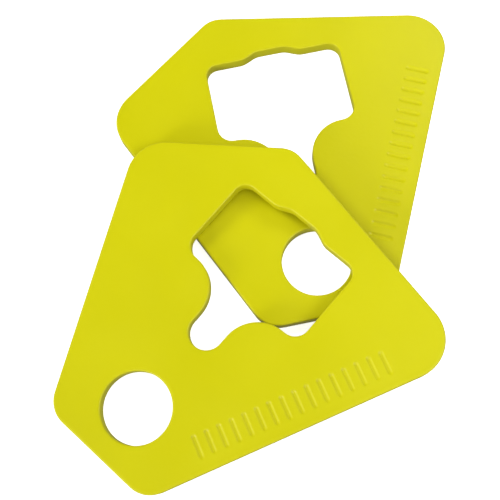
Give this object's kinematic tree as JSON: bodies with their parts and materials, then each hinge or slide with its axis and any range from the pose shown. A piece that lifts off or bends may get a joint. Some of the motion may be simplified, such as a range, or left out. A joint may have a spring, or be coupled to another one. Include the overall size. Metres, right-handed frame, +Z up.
{
  "type": "fence post puller plates",
  "caption": "Flat yellow coated steel post puller plates, leaning together, with a round pull hole, a wide post slot with a narrow lobe, and a row of pressed marks.",
  "frame": {"origin": "centre of the bottom plate's pull hole, on the surface that the plate lies on", "axes": "+Z up, square to the bottom plate; +Y along the bottom plate's centre line, from its narrow tip to its wide end; +X to its right"},
  "size_m": [0.1676, 0.1729, 0.0132],
  "materials": {
    "yellow_coat": "satin powder coat"
  },
  "bodies": {
    "bottom": {"bottom_plate": "yellow_coat"},
    "top": {"top_plate": "yellow_coat"}
  },
  "joints": [
    {"name": "top_plate_lift", "type": "slide", "parent": "bottom", "child": "top", "axis": [0, 0, 1], "range_m": [0, 0.1]}
  ]
}
